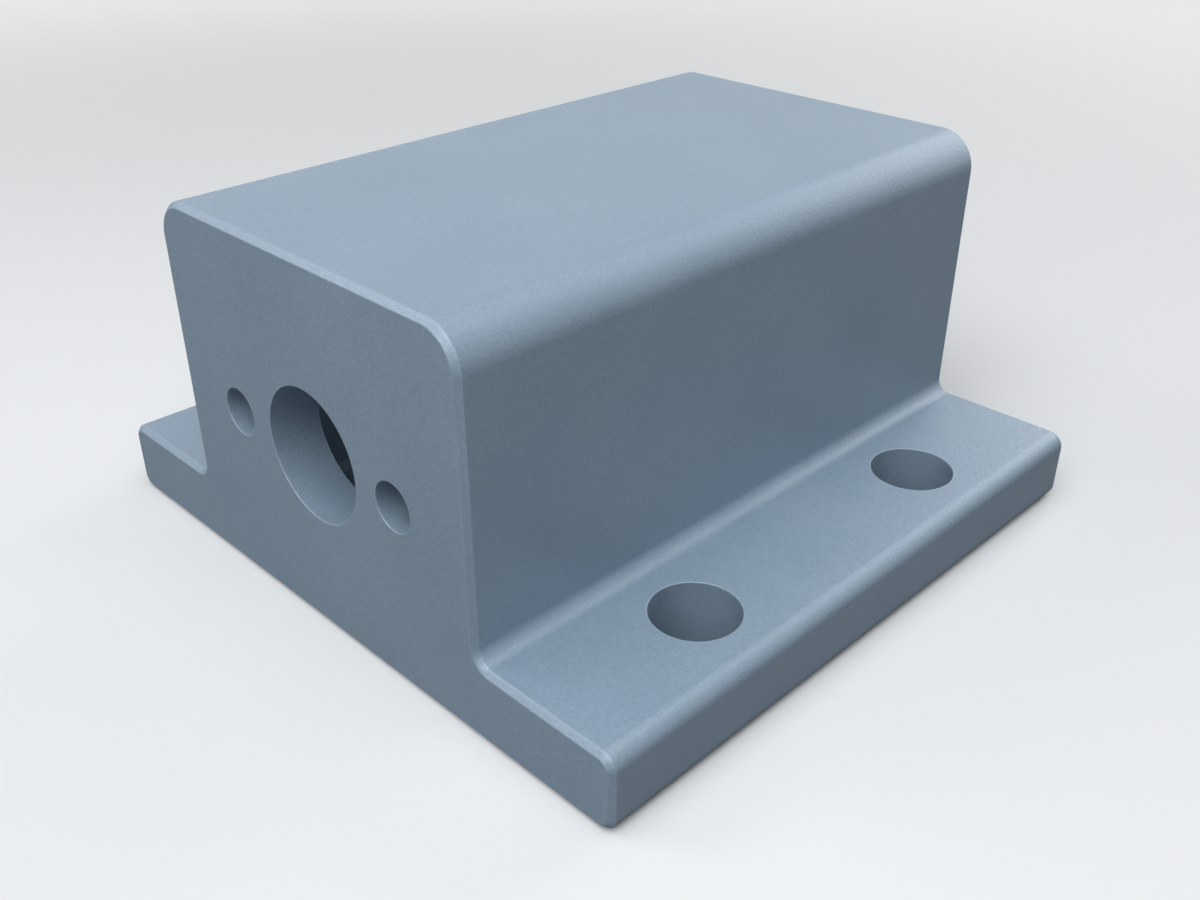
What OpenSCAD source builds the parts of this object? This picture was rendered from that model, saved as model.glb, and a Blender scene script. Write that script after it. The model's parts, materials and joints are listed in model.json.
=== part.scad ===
// Motor mount: a housing block on a flanged base plate, machined as one piece.
// Millimetres, +Z up. The origin is on the underside, midway along the width and the depth.
// The front face, with the shaft bore, looks along -Y, and the motor goes in from the rear.

/* [Motor pocket] */
// Width of the pocket that the motor sits in
pocket_w = 62; // [56:0.5:90]
// Height of the shaft axis above the underside, which is also the middle of the pocket
shaft_z = 36; // [28:0.5:60]
// Thickness of the floor under the pocket
floor_t = 10; // [5:0.5:18]
// Radius in the four corners of the pocket
pocket_r = 2.5; // [1:0.5:8]

/* [Housing block] */
// Thickness of the wall at each side of the pocket
side_wall = 10; // [6:0.5:20]
// Thickness of the roof over the pocket
roof_t = 10; // [6:0.5:20]
// Thickness of the front wall that the motor is screwed to
front_wall = 10; // [4:0.5:20]
// Radius along the two upper edges of the block
block_r = 7.5; // [3:0.5:12]
// Radius of the fillets where the block meets the plate
root_r = 3; // [1:0.5:6]

/* [Base plate] */
// Depth of the mount, from the front face to the rear face
depth = 134; // [110:1:200]
// Width of the flange at each side of the block
flange_w = 30; // [27:0.5:50]
// Thickness of the base plate at its flanges
flange_t = 15; // [8:0.5:25]
// Radius along the upper side edges of the plate
plate_top_r = 3; // [1.5:0.5:6]
// Radius along the lower side edges of the plate
plate_bottom_r = 3; // [1.5:0.5:6]

/* [Front edge] */
// Chamfer all round the front face
chamfer = 1; // [0.5:0.1:2.5]

/* [Holes] */
// Diameter of the bore that the shaft and its boss pass through
bore_d = 25; // [15:0.5:32]
// Diameter of the two holes for the motor screws
screw_hole_d = 9; // [4:0.5:13]
// Distance between the centres of the two motor screws
screw_pitch = 45; // [37:0.5:51]
// Diameter of the four holes in the flanges
bolt_hole_d = 16; // [6:0.5:20]
// Distance of the flange holes' centres from the plate's side edges
bolt_edge = 15; // [12:0.5:18]
// Distance of the front pair of flange holes behind the front face
bolt_front = 35; // [12:0.5:58]
// Distance from the front pair of flange holes to the rear pair
bolt_pitch = 65; // [20:0.5:88]

/* [Hidden] */
// Facets round a full circle
$fn = 128;
// How far a cutter runs past the faces that it opens
over = 0.4;

// The pocket reaches as far above the shaft axis as below it
pocket_h = 2 * (shaft_z - floor_t);
block_w = pocket_w + 2 * side_wall;
block_h = floor_t + pocket_h + roof_t;
plate_w = block_w + 2 * flange_w;
front_y = -depth / 2;

// Where the straight runs of the front outline end and its rounds begin
block_x = block_w / 2;
plate_x = plate_w / 2;
block_round_x = block_x - block_r;
block_round_z = block_h - block_r;
root_x = block_x + root_r;
root_z = flange_t + root_r;
plate_top_x = plate_x - plate_top_r;
plate_top_z = flange_t - plate_top_r;
plate_bottom_x = plate_x - plate_bottom_r;

// The children, drawn on the +X side, and their mirror image on the other
module both_sides() {
    children();
    mirror([1, 0, 0]) children();
}

// A shape drawn as it is seen from the front, carried back from y = start
module carried_back(start, length) {
    translate([0, start + length, 0])
        rotate([90, 0, 0])
            linear_extrude(length) children();
}

// What a round of radius r takes off a square corner at [x, y] that points along [dir_x, dir_y]
module corner_waste(x, y, r, dir_x = 1, dir_y = 1) {
    translate([x - dir_x * r, y - dir_y * r])
        difference() {
            translate([min(0, dir_x * (r + over)), min(0, dir_y * (r + over))])
                square(r + over);
            circle(r);
        }
}

// The concave fillet in the corner between the block and the flange
module root_fillet() {
    difference() {
        translate([block_x - over, flange_t - over]) square(root_r + over);
        translate([root_x, root_z]) circle(root_r);
    }
}

// The outline of the mount from the front
module outline() {
    difference() {
        union() {
            translate([-plate_x, 0]) square([plate_w, flange_t]);
            translate([-block_x, 0]) square([block_w, block_h]);
            both_sides() root_fillet();
        }
        both_sides() {
            corner_waste(block_x, block_h, block_r);
            corner_waste(plate_x, flange_t, plate_top_r);
            corner_waste(plate_x, 0, plate_bottom_r, dir_y = -1);
        }
    }
}

// Section of the chamfer cutter: x runs out of the outline, and y runs back from the front face
module chamfer_section() {
    polygon([[-chamfer - over, -over], [over, -over], [over, chamfer + over]]);
}

// Cutter for a straight run that starts at [x, z], with the outside turned from +X by turn
module straight_cutter(x, z, turn, length) {
    translate([x, front_y, z])
        rotate([0, turn, 0])
            linear_extrude(length) chamfer_section();
}

// A quarter turn of the children about an axis through [x, z], from the angle start below +X
module quarter_turn(x, z, start) {
    translate([x, front_y, z])
        rotate([-90, 0, 0])
            rotate([0, 0, start])
                rotate_extrude(angle = 90) children();
}

// Cutter for an outer round of radius r about [x, z]
module round_cutter(x, z, r, start) {
    quarter_turn(x, z, start)
        translate([r, 0]) chamfer_section();
}

// Cutter for a hollow round of radius r about [x, z], where the outside is towards the middle
module hollow_cutter(x, z, r, start) {
    quarter_turn(x, z, start)
        translate([r, 0]) mirror([1, 0]) chamfer_section();
}

// The chamfer all round the front outline, run by run from the underside to the top
module front_chamfer() {
    straight_cutter(-plate_bottom_x, 0, 90, 2 * plate_bottom_x);
    both_sides() {
        round_cutter(plate_bottom_x, plate_bottom_r, plate_bottom_r, 0);
        straight_cutter(plate_x, plate_bottom_r, 0, plate_top_z - plate_bottom_r);
        round_cutter(plate_top_x, plate_top_z, plate_top_r, -90);
        straight_cutter(plate_top_x, flange_t, -90, plate_top_x - root_x);
        hollow_cutter(root_x, root_z, root_r, 90);
        straight_cutter(block_x, root_z, 0, block_round_z - root_z);
        round_cutter(block_round_x, block_round_z, block_r, -90);
    }
    straight_cutter(block_round_x, block_h, -90, 2 * block_round_x);
}

// The motor pocket, from the front wall out through the rear face
module pocket() {
    carried_back(front_y + front_wall, depth - front_wall + over)
        translate([0, shaft_z])
            difference() {
                square([pocket_w, pocket_h], center = true);
                both_sides() {
                    corner_waste(pocket_w / 2, pocket_h / 2, pocket_r);
                    corner_waste(pocket_w / 2, -pocket_h / 2, pocket_r, dir_y = -1);
                }
            }
}

// A hole of diameter d through the front wall, its centre x to the side of the shaft axis
module wall_hole(x, d) {
    translate([x, front_y - over, shaft_z])
        rotate([-90, 0, 0])
            cylinder(d = d, h = front_wall + 2 * over);
}

// A hole through the flange, with its centre y behind the front face
module flange_hole(y) {
    translate([plate_x - bolt_edge, front_y + y, -over])
        cylinder(d = bolt_hole_d, h = flange_t + 2 * over);
}

module motor_mount() {
    color("LightSlateGray")
        difference() {
            carried_back(front_y, depth) outline();
            front_chamfer();
            pocket();
            wall_hole(0, bore_d);
            both_sides() {
                wall_hole(screw_pitch / 2, screw_hole_d);
                flange_hole(bolt_front);
                flange_hole(bolt_front + bolt_pitch);
            }
        }
}

motor_mount();
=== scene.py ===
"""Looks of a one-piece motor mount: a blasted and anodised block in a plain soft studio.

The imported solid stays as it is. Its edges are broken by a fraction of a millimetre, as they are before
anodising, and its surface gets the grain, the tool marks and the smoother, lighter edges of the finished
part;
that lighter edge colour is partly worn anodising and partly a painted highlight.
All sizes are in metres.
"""

import json
import logging
import math
from dataclasses import dataclass, field
from enum import Enum

import bpy
from mathutils import Color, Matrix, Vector


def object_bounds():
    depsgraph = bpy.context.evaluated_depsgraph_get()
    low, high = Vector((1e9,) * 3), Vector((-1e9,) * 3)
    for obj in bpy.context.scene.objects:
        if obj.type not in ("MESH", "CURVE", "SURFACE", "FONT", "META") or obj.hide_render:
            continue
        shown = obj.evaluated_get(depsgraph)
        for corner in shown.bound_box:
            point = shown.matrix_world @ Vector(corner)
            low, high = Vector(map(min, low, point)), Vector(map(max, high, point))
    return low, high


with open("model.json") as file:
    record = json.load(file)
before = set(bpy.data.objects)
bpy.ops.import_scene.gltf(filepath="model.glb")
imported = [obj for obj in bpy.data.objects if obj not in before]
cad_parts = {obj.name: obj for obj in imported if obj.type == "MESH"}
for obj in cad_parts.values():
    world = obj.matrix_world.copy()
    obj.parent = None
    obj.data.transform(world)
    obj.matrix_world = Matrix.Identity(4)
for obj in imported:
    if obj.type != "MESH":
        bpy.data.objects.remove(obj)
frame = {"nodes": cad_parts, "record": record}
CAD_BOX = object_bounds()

LOG = logging.getLogger("motor_mount")
MM = 0.001
FULL_CHANNEL = 255

Colour = tuple[float, float, float]
Socket = bpy.types.NodeSocket
Sockets = bpy.types.bpy_prop_collection


def rgba(colour: Colour) -> tuple[float, float, float, float]:
    """The colour with full opacity."""
    return (*colour, 1.0)


def linear(red: int, green: int, blue: int) -> Colour:
    """Turns a colour as it is seen on a screen into the linear one that a shader takes.

    Args:
        red: The red share, 0 to 255.
        green: The green share, 0 to 255.
        blue: The blue share, 0 to 255.

    Returns:
        The three linear values, 0 to 1.
    """
    seen = Color([channel / FULL_CHANNEL for channel in (red, green, blue)])
    return tuple(seen.from_srgb_to_scene_linear())


class Climb(Enum):
    """How a value climbs from one end of a stretch to the other."""

    STRAIGHT = "LINEAR"
    SMOOTH = "SMOOTHSTEP"


class Wiring:
    """Places nodes in one node tree and joins them."""

    single_answers = ("DISTANCE", "DOT_PRODUCT", "LENGTH")
    node_step = 180

    def __init__(self, tree: bpy.types.NodeTree) -> None:
        """Starts the wiring of a tree.

        Args:
            tree: The tree that the nodes go into.
        """
        self.tree = tree
        self.placed = 0

    def add(self, kind: str, **settings: object) -> bpy.types.Node:
        """Places a node.

        Args:
            kind: The node's type name.
            **settings: Attributes to set on it.

        Returns:
            The node.
        """
        node = self.tree.nodes.new(kind)
        for name, value in settings.items():
            setattr(node, name, value)
        self.placed += 1
        node.location = (self.placed * self.node_step, 0)
        return node

    def join(self, source: Socket, target: Socket) -> None:
        """Links an output to an input."""
        self.tree.links.new(source, target)

    def feed(self, socket: Socket, value: object) -> None:
        """Links a socket to another socket, or sets a plain value on it.

        Args:
            socket: The input.
            value: The output to link it to, or the value.
        """
        if isinstance(value, Socket):
            self.join(value, socket)
        else:
            socket.default_value = value

    def maths(self, operation: str, *values: object, clamp: bool = False) -> Socket:
        """Places a Math node.

        Args:
            operation: The name of the operation.
            *values: Sockets or numbers for its inputs, in order.
            clamp: True to keep the result between 0 and 1.

        Returns:
            Its output.
        """
        node = self.add("ShaderNodeMath", operation=operation, use_clamp=clamp)
        for socket, value in zip(node.inputs, values):
            self.feed(socket, value)
        return node.outputs["Value"]

    def vector(self, operation: str, *values: object) -> Socket:
        """Places a Vector Math node.

        Args:
            operation: The name of the operation.
            *values: Sockets or vectors for its inputs, in order.

        Returns:
            Its output, the vector or the single value that the operation gives.
        """
        node = self.add("ShaderNodeVectorMath", operation=operation)
        for socket, value in zip(node.inputs, values):
            self.feed(socket, value)
        return node.outputs["Value" if operation in self.single_answers else "Vector"]

    def mix(self, share: object, low: object, high: object) -> Socket:
        """Mixes two colours.

        Args:
            share: How much of the second colour shows.
            low: The first colour.
            high: The second colour.

        Returns:
            The mixed colour.
        """
        node = self.add("ShaderNodeMix", data_type="RGBA")
        self.feed(node.inputs["Factor"], share)
        self.feed(node.inputs["A"], low)
        self.feed(node.inputs["B"], high)
        return node.outputs["Result"]

    def spread(self, value: Socket, low: float, high: float,
               climb: Climb = Climb.STRAIGHT) -> Socket:
        """Spreads a stretch of a value over 0 to 1.

        Args:
            value: The value.
            low: Where the result is 0.
            high: Where it is 1.
            climb: How it gets from one to the other.

        Returns:
            The result, kept between 0 and 1.
        """
        node = self.add("ShaderNodeMapRange", interpolation_type=climb.value)
        self.join(value, node.inputs["Value"])
        node.inputs["From Min"].default_value = low
        node.inputs["From Max"].default_value = high
        return node.outputs["Result"]


class SocketKind(Enum):
    """Kinds of socket that a group may have."""

    VALUE = "NodeSocketFloat"
    VECTOR = "NodeSocketVector"


@dataclass(frozen=True)
class Port:
    """One named input or output of a group."""

    name: str
    kind: SocketKind = SocketKind.VALUE


class Group:
    """A shader node group with named inputs and outputs, filled by its subclass."""

    name = "group"
    inputs: tuple[Port, ...] = ()
    outputs: tuple[Port, ...] = ()

    def __init__(self) -> None:
        """Makes the group's tree and fills it."""
        self.tree = bpy.data.node_groups.new(self.name, "ShaderNodeTree")
        for way, ports in (("INPUT", self.inputs), ("OUTPUT", self.outputs)):
            for port in ports:
                self.tree.interface.new_socket(port.name, in_out=way, socket_type=port.kind.value)
        wiring = Wiring(self.tree)
        taken = wiring.add("NodeGroupInput")
        given = wiring.add("NodeGroupOutput")
        self.fill(wiring, taken.outputs, given.inputs)

    def fill(self, wiring: Wiring, taken: Sockets, given: Sockets) -> None:
        """Places the group's own nodes.

        Args:
            wiring: The group's wiring.
            taken: The sockets that bring the inputs in.
            given: The sockets that take the outputs.
        """
        raise NotImplementedError

    def place(self, wiring: Wiring, **values: object) -> Sockets:
        """Places the group in a material.

        Args:
            wiring: The material's wiring.
            **values: Sockets or numbers for the group's inputs, by name.

        Returns:
            The group's outputs.
        """
        node = wiring.add("ShaderNodeGroup", node_tree=self.tree)
        for name, value in values.items():
            wiring.feed(node.inputs[name], value)
        return node.outputs


class BlastGrain(Group):
    """The even, fine grain that blasting with glass beads leaves, and the faint clouds in its colour."""

    name = "blast_grain"
    inputs = (Port("Place", SocketKind.VECTOR), Port("Pits"), Port("Clouds"))
    outputs = (Port("Height"), Port("Speckle"), Port("Cloud"))
    speckle_detail = 1.0
    speckle_height = 0.5
    cloud_detail = 3.0
    cloud_roughness = 0.55
    cloud_low = 0.3
    cloud_high = 0.8

    def fill(self, wiring: Wiring, taken: Sockets, given: Sockets) -> None:
        """Pits from a cell pattern over a noise, and clouds from a broad noise.

        Args:
            wiring: The group's wiring.
            taken: The sockets that bring the inputs in.
            given: The sockets that take the outputs.
        """
        pits = wiring.add("ShaderNodeTexVoronoi", feature="F1")
        speckle = wiring.add("ShaderNodeTexNoise")
        clouds = wiring.add("ShaderNodeTexNoise")
        for pattern, scale in ((pits, "Pits"), (speckle, "Pits"), (clouds, "Clouds")):
            wiring.join(taken["Place"], pattern.inputs["Vector"])
            wiring.join(taken[scale], pattern.inputs["Scale"])
        speckle.inputs["Detail"].default_value = self.speckle_detail
        clouds.inputs["Detail"].default_value = self.cloud_detail
        clouds.inputs["Roughness"].default_value = self.cloud_roughness
        uneven = wiring.maths("MULTIPLY", speckle.outputs["Fac"], self.speckle_height)
        wiring.join(wiring.maths("ADD", pits.outputs["Distance"], uneven), given["Height"])
        wiring.join(speckle.outputs["Fac"], given["Speckle"])
        wiring.join(wiring.spread(clouds.outputs["Fac"], self.cloud_low, self.cloud_high), given["Cloud"])


class EdgeSheen(Group):
    """How close a point is to an edge, where the blast and the handling leave the surface smoother, and
    where the colour is lighter: partly worn anodising, partly a painted highlight.
    """

    name = "edge_sheen"
    inputs = (Port("Reach"), Port("Gain"), Port("Kept"))
    outputs = (Port("Mask"),)
    rays = 2

    def fill(self, wiring: Wiring, taken: Sockets, given: Sockets) -> None:
        """The angle between the true normal and one that is rounded over the edges.

        Args:
            wiring: The group's wiring.
            taken: The sockets that bring the inputs in.
            given: The sockets that take the outputs.
        """
        rounded = wiring.add("ShaderNodeBevel", samples=self.rays)
        wiring.join(taken["Reach"], rounded.inputs["Radius"])
        true = wiring.add("ShaderNodeNewGeometry").outputs["Normal"]
        along = wiring.vector("DOT_PRODUCT", rounded.outputs["Normal"], true)
        turned = wiring.maths("SUBTRACT", 1.0, along)
        edge = wiring.maths("MULTIPLY", turned, taken["Gain"], clamp=True)
        wiring.join(wiring.maths("MULTIPLY", edge, taken["Kept"]), given["Mask"])


class ToolMarks(Group):
    """The fine rings that a boring bar or an end mill leaves along a wall."""

    name = "tool_marks"
    inputs = (Port("Along"), Port("Feed"), Port("Waver"))
    outputs = (Port("Height"),)

    def fill(self, wiring: Wiring, taken: Sockets, given: Sockets) -> None:
        """A wave along the tool's way, a little uneven.

        Args:
            wiring: The group's wiring.
            taken: The sockets that bring the inputs in.
            given: The sockets that take the outputs.
        """
        turns = wiring.maths("DIVIDE", taken["Along"], taken["Feed"])
        uneven = wiring.maths("ADD", turns, taken["Waver"])
        wave = wiring.maths("SINE", wiring.maths("MULTIPLY", uneven, math.tau))
        wiring.join(wave, given["Height"])


class Axis(Enum):
    """The ways that a hole may run, each with what keeps only the two coordinates across it."""

    Y = (1.0, 0.0, 1.0)
    Z = (1.0, 1.0, 0.0)


@dataclass(frozen=True)
class Hole:
    """A round hole of the mount."""

    centre: Vector
    axis: Axis
    radius: float


@dataclass(frozen=True)
class Pocket:
    """The hollow that the motor sits in: a box in it, and how far its walls lie outside that box."""

    low: Vector
    high: Vector
    wall: float = 0.9 * MM


@dataclass(frozen=True)
class AnodisedFinish:
    """Blue-grey anodised aluminium, blasted fine before the bath."""

    name: str = "anodised_blue_grey"
    colour: Colour = linear(127, 146, 163)
    deep_colour: Colour = linear(120, 140, 158)
    # Lighter colour mixed in along the edges: partly worn anodising, partly a painted highlight on the
    # chamfers.
    edge_wear_and_highlight_colour: Colour = linear(170, 183, 195)
    metallic: float = 0.10
    oxide_ior: float = 1.62
    roughness: float = 0.40
    cloud_roughness: float = 0.05
    edge_smoothing: float = 0.08
    pit_scale: float = 1900.0
    pit_depth: float = 0.03 * MM
    fleck: float = 0.3
    cloud_scale: float = 45.0
    edge_reach: float = 0.4 * MM
    edge_gain: float = 9.0
    edge_wear_and_highlight_share: float = 0.6
    edge_breakup: float = 0.8
    feed: float = 0.5 * MM
    ring_depth: float = 0.008 * MM
    wall_slack: float = 0.05 * MM

    def material(self, holes: list[Hole], pocket: Pocket) -> bpy.types.Material:
        """Builds the material.

        Args:
            holes: The holes, whose walls show tool marks.
            pocket: The pocket, whose walls show tool marks too.

        Returns:
            The material.
        """
        made = bpy.data.materials.new(self.name)
        made.use_nodes = True
        made.node_tree.nodes.clear()
        wiring = Wiring(made.node_tree)
        place = wiring.add("ShaderNodeTexCoord").outputs["Object"]
        grain = BlastGrain().place(wiring, Place=place, Pits=self.pit_scale, Clouds=self.cloud_scale)
        kept = wiring.maths("SUBTRACT", 1.0, wiring.maths("MULTIPLY", grain["Cloud"], self.edge_breakup))
        edge = EdgeSheen().place(wiring, Reach=self.edge_reach, Gain=self.edge_gain, Kept=kept)["Mask"]
        rings = self.rings(wiring, place, grain["Cloud"], holes, pocket)
        shader = wiring.add("ShaderNodeBsdfPrincipled")
        shader.inputs["Metallic"].default_value = self.metallic
        shader.inputs["IOR"].default_value = self.oxide_ior
        wiring.join(self.surface_colour(wiring, grain, edge), shader.inputs["Base Color"])
        wiring.join(self.surface_roughness(wiring, grain, edge), shader.inputs["Roughness"])
        wiring.join(self.relief(wiring, grain, rings), shader.inputs["Normal"])
        output = wiring.add("ShaderNodeOutputMaterial")
        wiring.join(shader.outputs["BSDF"], output.inputs["Surface"])
        return made

    def surface_colour(self, wiring: Wiring, grain: Sockets, edge: Socket) -> Socket:
        """The dye's colour with its clouds and flecks, lighter along the edges: partly worn anodising,
        partly a painted highlight.

        Args:
            wiring: The material's wiring.
            grain: The blast grain's outputs.
            edge: The mask of the edges.

        Returns:
            The colour.
        """
        dye = wiring.mix(grain["Cloud"], rgba(self.deep_colour), rgba(self.colour))
        fleck = wiring.maths("MULTIPLY_ADD", grain["Speckle"], self.fleck, 1.0 - self.fleck / 2)
        flecked = wiring.add("ShaderNodeHueSaturation")
        wiring.join(fleck, flecked.inputs["Value"])
        wiring.join(dye, flecked.inputs["Color"])
        # Painted highlight along the edges, partly also worn anodising: the edge mask mixes in the lighter
        # colour.
        light = wiring.maths("MULTIPLY", edge, self.edge_wear_and_highlight_share)
        return wiring.mix(light, flecked.outputs["Color"], rgba(self.edge_wear_and_highlight_colour))

    def surface_roughness(self, wiring: Wiring, grain: Sockets, edge: Socket) -> Socket:
        """Roughness that follows the clouds a little and falls at the edges.

        Args:
            wiring: The material's wiring.
            grain: The blast grain's outputs.
            edge: The mask of the edges.

        Returns:
            The roughness.
        """
        body = wiring.maths("MULTIPLY_ADD", grain["Cloud"], self.cloud_roughness, self.roughness)
        return wiring.maths("MULTIPLY_ADD", edge, -self.edge_smoothing, body)

    def relief(self, wiring: Wiring, grain: Sockets, rings: Socket) -> Socket:
        """The bump: tool marks where there are any, and the blast grain over everything.

        Args:
            wiring: The material's wiring.
            grain: The blast grain's outputs.
            rings: The height of the tool marks.

        Returns:
            The normal.
        """
        turned = wiring.add("ShaderNodeBump")
        turned.inputs["Distance"].default_value = self.ring_depth
        wiring.join(rings, turned.inputs["Height"])
        blasted = wiring.add("ShaderNodeBump")
        blasted.inputs["Distance"].default_value = self.pit_depth
        wiring.join(grain["Height"], blasted.inputs["Height"])
        wiring.join(turned.outputs["Normal"], blasted.inputs["Normal"])
        return blasted.outputs["Normal"]

    def rings(self, wiring: Wiring, place: Socket, waver: Socket, holes: list[Hole],
              pocket: Pocket) -> Socket:
        """The height of the tool marks on the walls of the holes and the pocket.

        Args:
            wiring: The material's wiring.
            place: The object coordinates.
            waver: What makes the marks a little uneven.
            holes: The holes.
            pocket: The pocket, which is milled along Y.

        Returns:
            The height, 0 wherever there are no marks.
        """
        marks = ToolMarks()
        along = wiring.add("ShaderNodeSeparateXYZ")
        wiring.join(place, along.inputs["Vector"])
        inside = {Axis.Y: self.in_pocket(wiring, place, pocket), Axis.Z: 0.0}
        for hole in holes:
            wall = self.in_hole(wiring, place, hole)
            inside[hole.axis] = wiring.maths("MAXIMUM", inside[hole.axis], wall)
        heights = []
        for axis, where in inside.items():
            wave = marks.place(wiring, Along=along.outputs[axis.name], Feed=self.feed, Waver=waver)
            heights.append(wiring.maths("MULTIPLY", wave["Height"], where))
        return wiring.maths("ADD", *heights)

    def in_hole(self, wiring: Wiring, place: Socket, hole: Hole) -> Socket:
        """A mask of a hole's wall.

        Args:
            wiring: The material's wiring.
            place: The object coordinates.
            hole: The hole.

        Returns:
            The mask, 1 from the hole's axis to just past its wall.
        """
        across = Vector(hole.axis.value)
        away = wiring.vector("DISTANCE", wiring.vector("MULTIPLY", place, across), hole.centre * across)
        return wiring.maths("LESS_THAN", away, hole.radius + self.wall_slack)

    def in_pocket(self, wiring: Wiring, place: Socket, pocket: Pocket) -> Socket:
        """A mask of the pocket's walls.

        Args:
            wiring: The material's wiring.
            place: The object coordinates.
            pocket: The pocket.

        Returns:
            The mask, 1 in the pocket and on its walls.
        """
        middle = (pocket.low + pocket.high) / 2
        reach = (pocket.high - pocket.low) / 2 + Vector((pocket.wall,) * 3)
        away = wiring.vector("ABSOLUTE", wiring.vector("SUBTRACT", place, middle))
        past = wiring.add("ShaderNodeSeparateXYZ")
        wiring.join(wiring.vector("SUBTRACT", away, reach), past.inputs["Vector"])
        furthest = wiring.maths("MAXIMUM", past.outputs["X"], past.outputs["Y"])
        return wiring.maths("LESS_THAN", wiring.maths("MAXIMUM", furthest, past.outputs["Z"]), 0.0)


@dataclass
class MotorMount:
    """The mount itself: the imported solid, with its edges broken and its finish on."""

    node: str = "motor_mount"
    edge_break: float = 0.15 * MM
    edge_segments: int = 2
    edge_angle: float = math.radians(30)
    flat_angle: float = math.radians(0.5)
    weld: float = 0.001 * MM
    finish: AnodisedFinish = field(default_factory=AnodisedFinish)

    def build(self) -> bpy.types.Object:
        """Breaks the edges and puts the finish on.

        Returns:
            The dressed object.
        """
        body = frame["nodes"][self.node]
        self.break_edges(body)
        body.material_slots[0].material = self.finish.material(self.holes(), self.pocket())
        LOG.info("%s: %s", self.node, self.finish.name)
        return body

    def break_edges(self, body: bpy.types.Object) -> None:
        """Takes the sharpness off every edge, with modifiers that leave the mesh itself alone.

        Args:
            body: The mount's object.
        """
        body.modifiers.new("weld", "WELD").merge_threshold = self.weld
        planar = body.modifiers.new("planar", "DECIMATE")
        planar.decimate_type = "DISSOLVE"
        planar.angle_limit = self.flat_angle
        edge = body.modifiers.new("edge_break", "BEVEL")
        edge.width = self.edge_break
        edge.segments = self.edge_segments
        edge.limit_method = "ANGLE"
        edge.angle_limit = self.edge_angle
        normals = body.modifiers.new("normals", "WEIGHTED_NORMAL")
        normals.mode = "FACE_AREA"
        normals.keep_sharp = False

    def holes(self) -> list[Hole]:
        """The holes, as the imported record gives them.

        Returns:
            The shaft bore, the motor's screw holes and the base's bolt holes.
        """
        mounts = {mount["name"]: mount for mount in frame["record"]["mounts"]}
        bore, screws, bolts = (mounts[name] for name in ("shaft_bore", "motor_screws", "base_bolts"))
        found = [Hole(Vector(bore["pos_m"]), Axis.Y, bore["dims"]["r_mm"] * MM)]
        across = screws["dims"]["spacing_x_mm"] * MM / 2
        for side in (-1, 1):
            centre = Vector(screws["pos_m"]) + Vector((side * across, 0, 0))
            found.append(Hole(centre, Axis.Y, screws["dims"]["hole_r_mm"] * MM))
        across = bolts["dims"]["spacing_x_mm"] * MM / 2
        back = bolts["dims"]["spacing_y_mm"] * MM / 2
        for side in (-1, 1):
            for end in (-1, 1):
                centre = Vector(bolts["pos_m"]) + Vector((side * across, end * back, 0))
                found.append(Hole(centre, Axis.Z, bolts["dims"]["hole_r_mm"] * MM))
        return found

    def pocket(self) -> Pocket:
        """The motor pocket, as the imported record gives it.

        Returns:
            The pocket.
        """
        openings = {opening["name"]: opening for opening in frame["record"]["physics"]["openings"]}
        low, high = openings["motor_pocket"]["box_m"]
        return Pocket(Vector(low), Vector(high))


@dataclass(frozen=True)
class Softbox:
    """A square soft lamp that looks at the part."""

    name: str
    place: tuple[float, float, float]
    side: float
    power: float

    def build(self, target: Vector) -> bpy.types.Object:
        """Hangs the lamp, out of the camera's sight.

        Args:
            target: The point that it looks at.

        Returns:
            The lamp.
        """
        data = bpy.data.lights.new(self.name, "AREA")
        data.shape = "SQUARE"
        data.size = self.side
        data.energy = self.power
        lamp = bpy.data.objects.new(self.name, data)
        lamp.location = self.place
        lamp.rotation_euler = (target - Vector(self.place)).to_track_quat("-Z", "Y").to_euler()
        lamp.visible_camera = False
        bpy.context.scene.collection.objects.link(lamp)
        LOG.info("lamp %s", self.name)
        return lamp


@dataclass(frozen=True)
class Viewpoint:
    """Where the picture is taken from."""

    place: tuple[float, float, float] = (161.18 * MM, -159.56 * MM, 140.85 * MM)
    azimuth: float = math.radians(45)
    elevation: float = math.radians(30)
    upright_field: float = math.radians(40)
    picture_size: tuple[int, int] = (1200, 900)
    nearest: float = 1 * MM
    furthest: float = 50.0

    def build(self) -> bpy.types.Object:
        """Sets up the camera.

        Returns:
            The camera.
        """
        data = bpy.data.cameras.new("camera")
        data.sensor_fit = "HORIZONTAL"
        wide, high = self.picture_size
        reach = high / 2 / math.tan(self.upright_field / 2)
        data.lens = data.sensor_width * reach / wide
        data.clip_start = self.nearest
        data.clip_end = self.furthest
        camera = bpy.data.objects.new("camera", data)
        camera.location = self.place
        flat = math.cos(self.elevation)
        ahead = Vector((
            -math.sin(self.azimuth) * flat,
            math.cos(self.azimuth) * flat,
            -math.sin(self.elevation),
        ))
        camera.rotation_mode = "QUATERNION"
        camera.rotation_quaternion = ahead.to_track_quat("-Z", "Y")
        bpy.context.scene.collection.objects.link(camera)
        bpy.context.scene.camera = camera
        return camera


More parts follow.
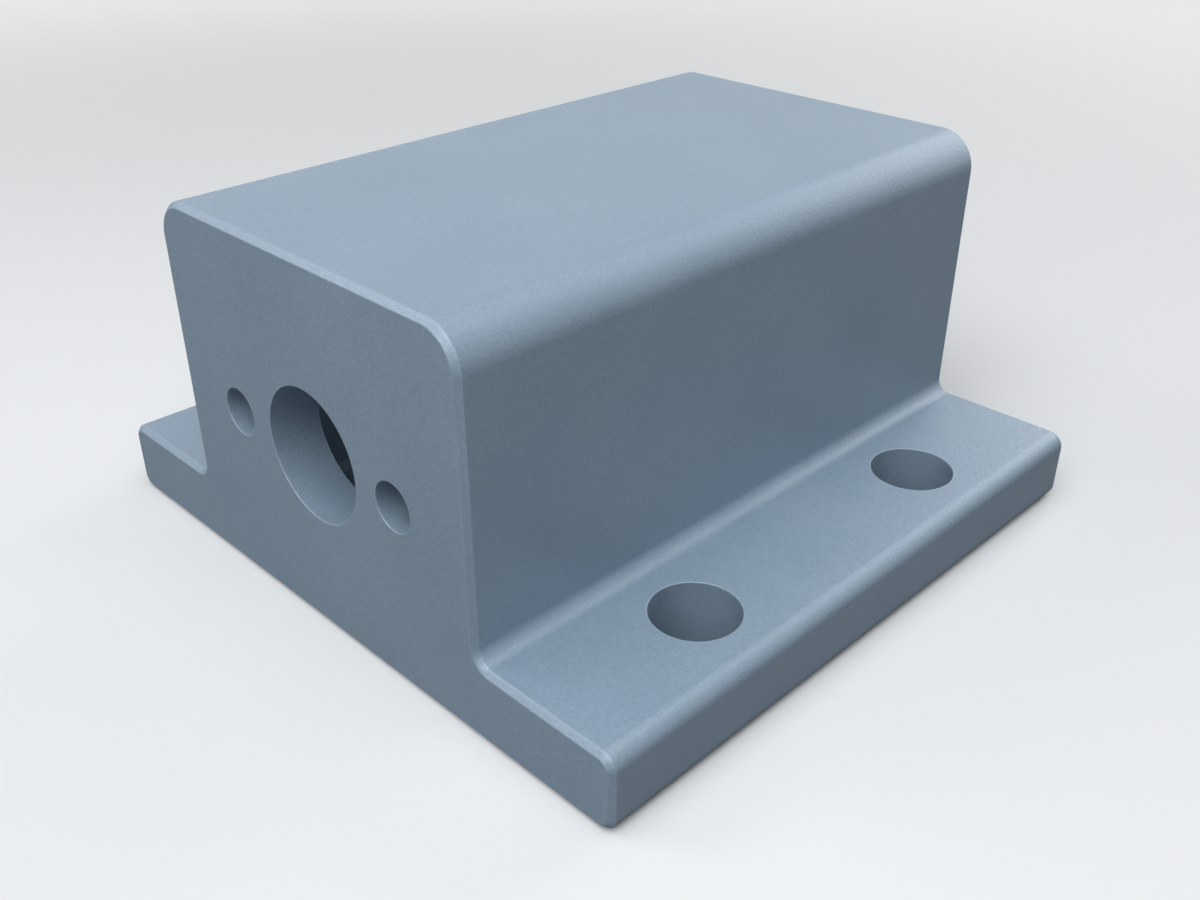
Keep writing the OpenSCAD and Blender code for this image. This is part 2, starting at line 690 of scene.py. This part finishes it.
@dataclass
class Studio:
    """The plain pale floor, the soft light and the camera."""

    floor_side: float = 12.0
    floor_seen: Colour = (0.66, 0.675, 0.69)
    floor_lit: Colour = (0.22, 0.225, 0.23)
    fade_start: float = 0.20
    fade_end: float = 0.70
    sky_seen: Colour = (0.80, 0.81, 0.82)
    sky_lit: Colour = (0.05, 0.05, 0.05)
    lamps: tuple[Softbox, ...] = (
        Softbox("overhead", place=(0.20, -0.28, 0.90), side=1.00, power=9.7),
        Softbox("over_rear", place=(0.08, 0.50, 0.80), side=0.80, power=0.9),
        Softbox("front_high", place=(0.15, -0.65, 0.52), side=0.50, power=1.8),
        Softbox("front_right", place=(0.52, -0.56, 0.46), side=0.60, power=0.8),
        Softbox("front_left", place=(-0.55, -0.45, 0.59), side=0.35, power=1.4),
        Softbox("rear_low", place=(0.04, 0.92, 0.26), side=0.60, power=4.0),
    )
    view: Viewpoint = field(default_factory=Viewpoint)

    def build(self) -> None:
        """Sets the whole studio up, with the lamps on the middle of the part."""
        bpy.context.scene.view_settings.view_transform = "Standard"
        self.view.build()
        self.build_floor()
        self.build_sky()
        low, high = CAD_BOX
        for lamp in self.lamps:
            lamp.build((Vector(low) + Vector(high)) / 2)

    def build_floor(self) -> bpy.types.Object:
        """Lays the floor.

        Returns:
            The floor.
        """
        half = self.floor_side / 2
        mesh = bpy.data.meshes.new("floor")
        corners = [(-half, -half, 0), (half, -half, 0), (half, half, 0), (-half, half, 0)]
        mesh.from_pydata(corners, [], [(0, 1, 2, 3)])
        mesh.materials.append(self.floor_material())
        floor = bpy.data.objects.new("floor", mesh)
        bpy.context.scene.collection.objects.link(floor)
        return floor

    def floor_material(self) -> bpy.types.Material:
        """A matt floor, pale to the camera alone, that turns into the backdrop away from the part.

        Returns:
            The material.
        """
        made = bpy.data.materials.new("pale_floor")
        made.use_nodes = True
        made.node_tree.nodes.clear()
        wiring = Wiring(made.node_tree)
        seen = wiring.add("ShaderNodeLightPath").outputs["Is Camera Ray"]
        near = wiring.add("ShaderNodeBsdfDiffuse")
        wiring.join(wiring.mix(seen, rgba(self.floor_lit), rgba(self.floor_seen)), near.inputs["Color"])
        far = wiring.add("ShaderNodeEmission")
        far.inputs["Color"].default_value = rgba(self.sky_seen)
        away = wiring.vector("LENGTH", wiring.add("ShaderNodeTexCoord").outputs["Object"])
        faded = wiring.spread(away, self.fade_start, self.fade_end, Climb.SMOOTH)
        both = wiring.add("ShaderNodeMixShader")
        share, near_side, far_side = both.inputs
        wiring.join(wiring.maths("MULTIPLY", seen, faded), share)
        wiring.join(near.outputs["BSDF"], near_side)
        wiring.join(far.outputs["Emission"], far_side)
        output = wiring.add("ShaderNodeOutputMaterial")
        wiring.join(both.outputs["Shader"], output.inputs["Surface"])
        return made

    def build_sky(self) -> None:
        """Sets the faint light from all round, and the pale backdrop of the camera and the reflections."""
        world = bpy.data.worlds.new("studio")
        world.use_nodes = True
        world.node_tree.nodes.clear()
        bpy.context.scene.world = world
        wiring = Wiring(world.node_tree)
        path = wiring.add("ShaderNodeLightPath").outputs
        seen = wiring.maths("MAXIMUM", path["Is Camera Ray"], path["Is Glossy Ray"])
        seen = wiring.maths("MAXIMUM", seen, path["Is Transmission Ray"])
        light = wiring.add("ShaderNodeBackground")
        wiring.join(wiring.mix(seen, rgba(self.sky_lit), rgba(self.sky_seen)), light.inputs["Color"])
        output = wiring.add("ShaderNodeOutputWorld")
        wiring.join(light.outputs["Background"], output.inputs["Surface"])


def main() -> None:
    """Builds the studio and the part, and reports each piece."""
    logging.basicConfig(level=logging.INFO, format="%(name)s: %(message)s")
    Studio().build()
    MotorMount().build()


if __name__ == "__main__":
    main()
